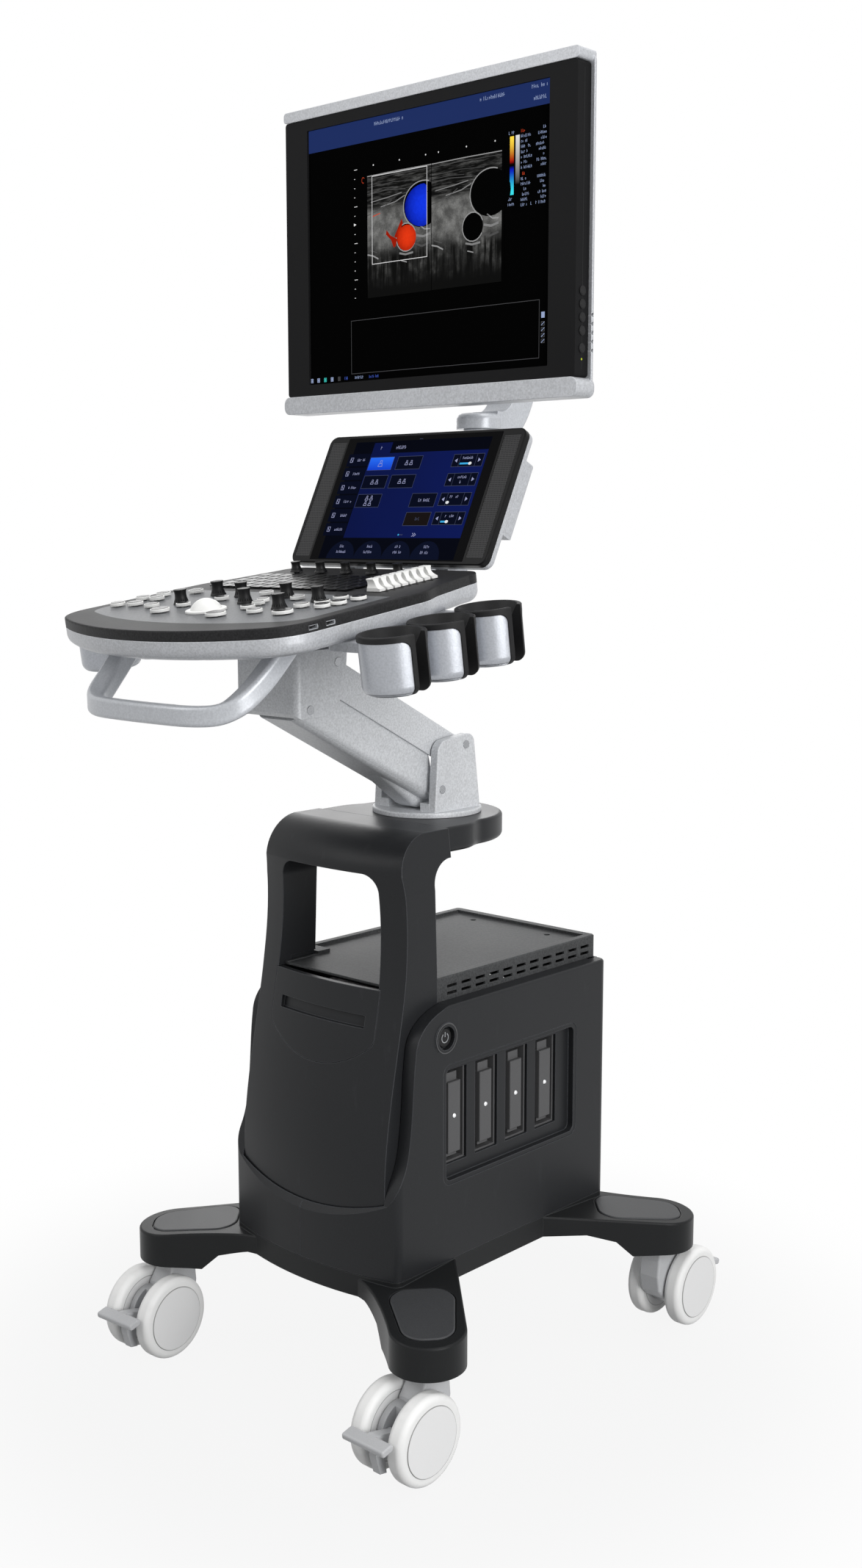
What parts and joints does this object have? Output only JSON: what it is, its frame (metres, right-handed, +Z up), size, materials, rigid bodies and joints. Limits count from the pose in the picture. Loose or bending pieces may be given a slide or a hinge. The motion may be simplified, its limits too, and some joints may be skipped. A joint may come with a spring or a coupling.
{
  "type": "ultrasound machine",
  "caption": "Wheeled diagnostic ultrasound machine with a flat display on a swivel neck, a tilted touch panel, a control console, probe cups, a lift arm and a cart on braked casters.",
  "frame": {"origin": "floor level under the centre of the footprint of the bounding box", "axes": "+Z up; the operator stands on the -Y side and looks along +Y; +X is to the operator's right, the side with the probe ports"},
  "size_m": [0.5272, 0.7557, 1.508],
  "materials": {
    "graphite": "fine satin moulded",
    "tray_black": "fine grained",
    "soft_black": "matt",
    "gloss_black": "polished",
    "silver": "metallic silver paint on plastic",
    "white": "satin moulded",
    "light_grey": "satin moulded",
    "panel_grey": "satin",
    "arm_silver": "fine silver powder coat",
    "steel": "zinc plated",
    "liner_rubber": "soft matt",
    "tyre": "light non-marking",
    "screen": "anti-glare",
    "touch_glass": "glossy"
  },
  "bodies": {
    "cart": {"base_cover": "graphite", "leg_pads": "soft_black", "chassis_frame": "steel", "side_cover_right": "graphite", "side_cover_left": "graphite", "rear_cover": "graphite", "top_tray": "tray_black", "column_cowl": "graphite", "drive_panel": "graphite", "head_cover": "graphite", "port_panel": "graphite", "probe_ports": "soft_black", "electronics": "steel"},
    "power_button": {"power_button": "graphite"},
    "turret": {"turret": "arm_silver"},
    "upper_arm": {"upper_arm": "arm_silver", "upper_arm_pins": "steel"},
    "lower_arm": {"lower_arm": "arm_silver", "lower_arm_pins": "steel"},
    "arm_head": {"head_bracket": "arm_silver"},
    "console": {"console_shell": "silver", "console_rim": "soft_black", "control_panel": "panel_grey", "trackball_ring": "white", "front_handle": "light_grey", "probe_cups": "silver", "cup_liners": "liner_rubber", "display_arm": "white"},
    "keyboard": {"keyboard_keys": "soft_black"},
    "panel_keys": {"panel_keys": "white"},
    "trackball": {"trackball": "light_grey"},
    "gain_sliders": {"gain_sliders": "white"},
    "menu_knobs": {"menu_knobs": "soft_black"},
    "touch_panel": {"touch_bezel": "soft_black", "touch_glass": "touch_glass", "touch_shell": "silver"},
    "display_neck": {"display_neck": "white"},
    "display": {"display_bezel": "gloss_black", "display_screen": "screen", "display_shell": "silver"},
    "display_buttons": {"display_buttons": "soft_black"},
    "caster_fl": {"caster_housing_fl": "light_grey"},
    "wheels_fl": {"caster_wheels_fl": "tyre"},
    "pedal_fl": {"caster_pedal_fl": "light_grey"},
    "caster_fr": {"caster_housing_fr": "light_grey"},
    "wheels_fr": {"caster_wheels_fr": "tyre"},
    "pedal_fr": {"caster_pedal_fr": "light_grey"},
    "caster_rl": {"caster_housing_rl": "light_grey"},
    "wheels_rl": {"caster_wheels_rl": "tyre"},
    "pedal_rl": {"caster_pedal_rl": "light_grey"},
    "caster_rr": {"caster_housing_rr": "light_grey"},
    "wheels_rr": {"caster_wheels_rr": "tyre"},
    "pedal_rr": {"caster_pedal_rr": "light_grey"},
    "knob_1": {"control_knob_1": "soft_black"},
    "knob_2": {"control_knob_2": "soft_black"},
    "knob_3": {"control_knob_3": "soft_black"},
    "knob_4": {"control_knob_4": "soft_black"},
    "knob_5": {"control_knob_5": "soft_black"},
    "knob_6": {"control_knob_6": "soft_black"},
    "knob_7": {"control_knob_7": "soft_black"}
  },
  "joints": [
    {"name": "caster_swivel_fl", "type": "hinge", "parent": "cart", "child": "caster_fl", "pos_m": [-0.2135, -0.16257, 0.115], "axis": [0, 0, 1], "continuous": true},
    {"name": "wheel_spin_fl", "type": "hinge", "parent": "caster_fl", "child": "wheels_fl", "pos_m": [-0.21106, -0.19748, 0.05], "axis": [0.9976, 0.0698, 0], "continuous": true},
    {"name": "brake_pedal_fl", "type": "hinge", "parent": "caster_fl", "child": "pedal_fl", "pos_m": [-0.20959, -0.21843, 0.052], "axis": [0.9976, 0.0698, 0], "range_deg": [0, 12]},
    {"name": "caster_swivel_fr", "type": "hinge", "parent": "cart", "child": "caster_fr", "pos_m": [0.2135, -0.16257, 0.115], "axis": [0, 0, 1], "continuous": true},
    {"name": "wheel_spin_fr", "type": "hinge", "parent": "caster_fr", "child": "wheels_fr", "pos_m": [0.2138, -0.19757, 0.05], "axis": [1, 0.0087, 0], "continuous": true},
    {"name": "brake_pedal_fr", "type": "hinge", "parent": "caster_fr", "child": "pedal_fr", "pos_m": [0.21399, -0.21857, 0.052], "axis": [1, 0.0087, 0], "range_deg": [0, 12]},
    {"name": "caster_swivel_rl", "type": "hinge", "parent": "cart", "child": "caster_rl", "pos_m": [-0.211, 0.27343, 0.115], "axis": [0, 0, 1], "continuous": true},
    {"name": "wheel_spin_rl", "type": "hinge", "parent": "caster_rl", "child": "wheels_rl", "pos_m": [-0.21283, 0.30838, 0.05], "axis": [-0.9986, -0.0523, 0], "continuous": true},
    {"name": "brake_pedal_rl", "type": "hinge", "parent": "caster_rl", "child": "pedal_rl", "pos_m": [-0.21393, 0.32935, 0.052], "axis": [-0.9986, -0.0523, 0], "range_deg": [0, 12]},
    {"name": "caster_swivel_rr", "type": "hinge", "parent": "cart", "child": "caster_rr", "pos_m": [0.211, 0.27343, 0.115], "axis": [0, 0, 1], "continuous": true},
    {"name": "wheel_spin_rr", "type": "hinge", "parent": "caster_rr", "child": "wheels_rr", "pos_m": [0.20917, 0.30838, 0.05], "axis": [-0.9986, -0.0523, 0], "continuous": true},
    {"name": "brake_pedal_rr", "type": "hinge", "parent": "caster_rr", "child": "pedal_rr", "pos_m": [0.20807, 0.32935, 0.052], "axis": [-0.9986, -0.0523, 0], "range_deg": [0, 12]},
    {"name": "turret_swivel", "type": "hinge", "parent": "cart", "child": "turret", "pos_m": [0, 0.06893, 0.67], "axis": [0, 0, 1], "range_deg": [-90, 90]},
    {"name": "arm_lift", "type": "hinge", "parent": "turret", "child": "upper_arm", "pos_m": [0, 0.08393, 0.75], "axis": [1, 0, 0], "range_deg": [-14, 30]},
    {"name": "lower_link", "type": "hinge", "parent": "turret", "child": "lower_arm", "pos_m": [0, 0.04193, 0.7], "axis": [1, 0, 0], "range_deg": [-14, 30]},
    {"name": "head_level", "type": "hinge", "parent": "upper_arm", "child": "arm_head", "pos_m": [0, -0.12915, 0.86045], "axis": [1, 0, 0], "range_deg": [-30, 14]},
    {"name": "console_swivel", "type": "hinge", "parent": "arm_head", "child": "console", "pos_m": [0, -0.15407, 0.885], "axis": [0, 0, 1], "range_deg": [-45, 45]},
    {"name": "touch_tilt", "type": "hinge", "parent": "console", "child": "touch_panel", "pos_m": [0, 0.02093, 0.946], "axis": [1, 0, 0], "range_deg": [-12, 6]},
    {"name": "display_swivel", "type": "hinge", "parent": "console", "child": "display_neck", "pos_m": [0, 0.16193, 1.13], "axis": [0, 0, 1], "range_deg": [-60, 60]},
    {"name": "display_tilt", "type": "hinge", "parent": "display_neck", "child": "display", "pos_m": [0, 0.12493, 1.29], "axis": [1, 0, 0], "range_deg": [-15, 5]},
    {"name": "power_press", "type": "slide", "parent": "cart", "child": "power_button", "axis": [-1, 0, 0], "range_m": [0, 0.0015], "stiffness_N_per_m": 400},
    {"name": "keyboard_press", "type": "slide", "parent": "console", "child": "keyboard", "axis": [0, 0.1444, -0.9895], "range_m": [0, 0.0005], "stiffness_N_per_m": 900},
    {"name": "panel_key_press", "type": "slide", "parent": "console", "child": "panel_keys", "axis": [0, 0.1444, -0.9895], "range_m": [0, 0.0009], "stiffness_N_per_m": 900},
    {"name": "menu_knob_press", "type": "slide", "parent": "console", "child": "menu_knobs", "axis": [0, 0.1444, -0.9895], "range_m": [0, 0.001], "stiffness_N_per_m": 600},
    {"name": "display_button_press", "type": "slide", "parent": "display", "child": "display_buttons", "axis": [-1, 0, 0], "range_m": [0, 0.001], "stiffness_N_per_m": 200},
    {"name": "gain_slide", "type": "slide", "parent": "console", "child": "gain_sliders", "axis": [1, 0, 0], "range_m": [-0.014, 0.014]},
    {"name": "trackball_roll", "type": "hinge", "parent": "console", "child": "trackball", "pos_m": [0, -0.27201, 0.91443], "axis": [1, 0, 0], "continuous": true},
    {"name": "knob_turn_1", "type": "hinge", "parent": "console", "child": "knob_1", "pos_m": [-0.076, -0.24305, 0.92371], "axis": [0, -0.1444, 0.9895], "continuous": true},
    {"name": "knob_turn_2", "type": "hinge", "parent": "console", "child": "knob_2", "pos_m": [-0.077, -0.18962, 0.93151], "axis": [0, -0.1444, 0.9895], "continuous": true},
    {"name": "knob_turn_3", "type": "hinge", "parent": "console", "child": "knob_3", "pos_m": [-0.035, -0.19159, 0.93122], "axis": [0, -0.1444, 0.9895], "continuous": true},
    {"name": "knob_turn_4", "type": "hinge", "parent": "console", "child": "knob_4", "pos_m": [0.008, -0.22524, 0.92631], "axis": [0, -0.1444, 0.9895], "continuous": true},
    {"name": "knob_turn_5", "type": "hinge", "parent": "console", "child": "knob_5", "pos_m": [0.033, -0.18764, 0.9318], "axis": [0, -0.1444, 0.9895], "continuous": true},
    {"name": "knob_turn_6", "type": "hinge", "parent": "console", "child": "knob_6", "pos_m": [0.084, -0.24602, 0.92328], "axis": [0, -0.1444, 0.9895], "continuous": true},
    {"name": "knob_turn_7", "type": "hinge", "parent": "console", "child": "knob_7", "pos_m": [0.095, -0.2005, 0.92992], "axis": [0, -0.1444, 0.9895], "continuous": true}
  ],
  "couplings": [
    {"joint": "lower_link", "follows": "arm_lift", "ratio": 1},
    {"joint": "head_level", "follows": "arm_lift", "ratio": -1}
  ]
}
